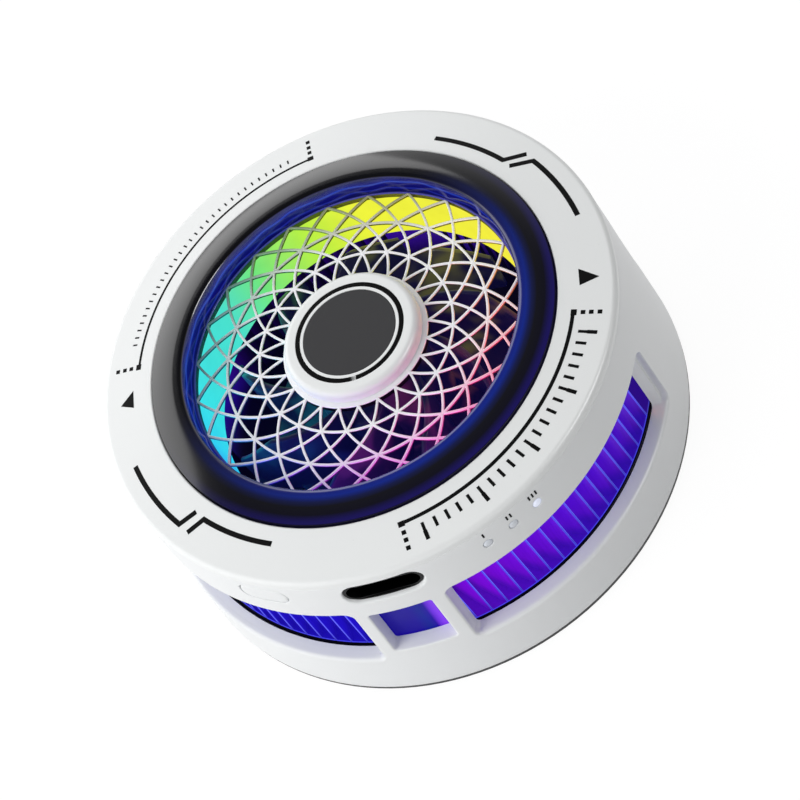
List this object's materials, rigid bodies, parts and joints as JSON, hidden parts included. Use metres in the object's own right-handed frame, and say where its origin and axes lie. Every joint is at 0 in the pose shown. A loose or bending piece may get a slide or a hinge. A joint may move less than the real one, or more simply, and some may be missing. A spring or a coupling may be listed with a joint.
{
  "type": "phone cooling fan",
  "caption": "Round clip-on phone cooler: a guarded fan with a lit ring on top, leaning fins behind side outlets, and a flat magnetic contact face below.",
  "frame": {"origin": "centre of the flat contact face that lies on the phone", "axes": "+Z along the fan's axis, away from the phone; -Y towards the power socket"},
  "size_m": [0.066, 0.066, 0.0268],
  "materials": {
    "white_shell": "satin moulded white",
    "white_bezel": "satin moulded white",
    "smoked_lens": "polished smoked navy",
    "white_guard": "glossy moulded white",
    "black_trim": "gloss black",
    "grey_disc": "matte dark grey",
    "light_guide": "frosted, lit in rainbow colours",
    "violet_window": "clear violet",
    "dark_cover": "fine moulded grain",
    "grip_silicone": "matte silicone",
    "thermal_silicone": "soft thermal pad",
    "bare_aluminium": "milled",
    "plated_magnet": "nickel plated",
    "steel": "plain",
    "module_ceramic": "unglazed",
    "module_legs": "cut semiconductor",
    "insulation_foam": "closed-cell foam",
    "violet_aluminium": "violet anodised",
    "dark_plastic": "moulded",
    "slippery_plastic": "self-lubricating",
    "sintered_bronze": "sintered",
    "circuit_board": "solder mask",
    "copper_wire": "enamelled",
    "ferrite": "bonded ferrite",
    "dark_fan": "glossy dark navy",
    "lamp_body": "white lamp package",
    "clear_pipe": "clear",
    "plated_steel": "nickel plated",
    "wire_insulation": "soft insulation"
  },
  "bodies": {
    "housing": {"body_shell": "white_shell", "front_bezel": "white_bezel", "lens_ring": "smoked_lens", "fan_guard": "white_guard", "hub_cap": "white_bezel", "hub_trim_ring": "black_trim", "hub_disc": "grey_disc", "light_guide": "light_guide", "front_window": "violet_window", "base_cover": "dark_cover", "grip_ring": "grip_silicone", "thermal_pad": "thermal_silicone", "cold_plate": "bare_aluminium", "magnets": "plated_magnet", "magnet_yoke": "steel", "module_cold_face": "module_ceramic", "module_legs": "module_legs", "module_hot_face": "module_ceramic", "insulation_ring": "insulation_foam", "heat_sink": "violet_aluminium", "motor_base": "dark_plastic", "thrust_washer": "slippery_plastic", "bearing": "sintered_bronze", "motor_board": "circuit_board", "stator_core": "steel", "stator_coils": "copper_wire", "deck": "dark_plastic", "led_board": "circuit_board", "rgb_leds": "lamp_body", "main_board": "circuit_board", "board_parts": "dark_plastic", "indicator_leds": "lamp_body", "light_pipes": "clear_pipe", "socket_shell": "plated_steel", "socket_tongue": "dark_plastic", "tact_switch": "dark_plastic", "fan_lead": "wire_insulation", "module_leads": "wire_insulation", "case_screws": "steel", "motor_screws": "steel"},
    "rotor": {"impeller": "dark_fan", "shaft": "steel", "rotor_yoke": "steel", "rotor_magnet": "ferrite"},
    "button": {"mode_button": "white_shell", "switch_plunger": "slippery_plastic"}
  },
  "joints": [
    {"name": "fan_spin", "type": "hinge", "parent": "housing", "child": "rotor", "pos_m": [0, 0, 0.012], "axis": [0, 0, 1], "continuous": true},
    {"name": "button_press", "type": "slide", "parent": "housing", "child": "button", "axis": [0.4384, 0.8988, 0], "range_m": [0, 0.0005], "stiffness_N_per_m": 2000}
  ]
}
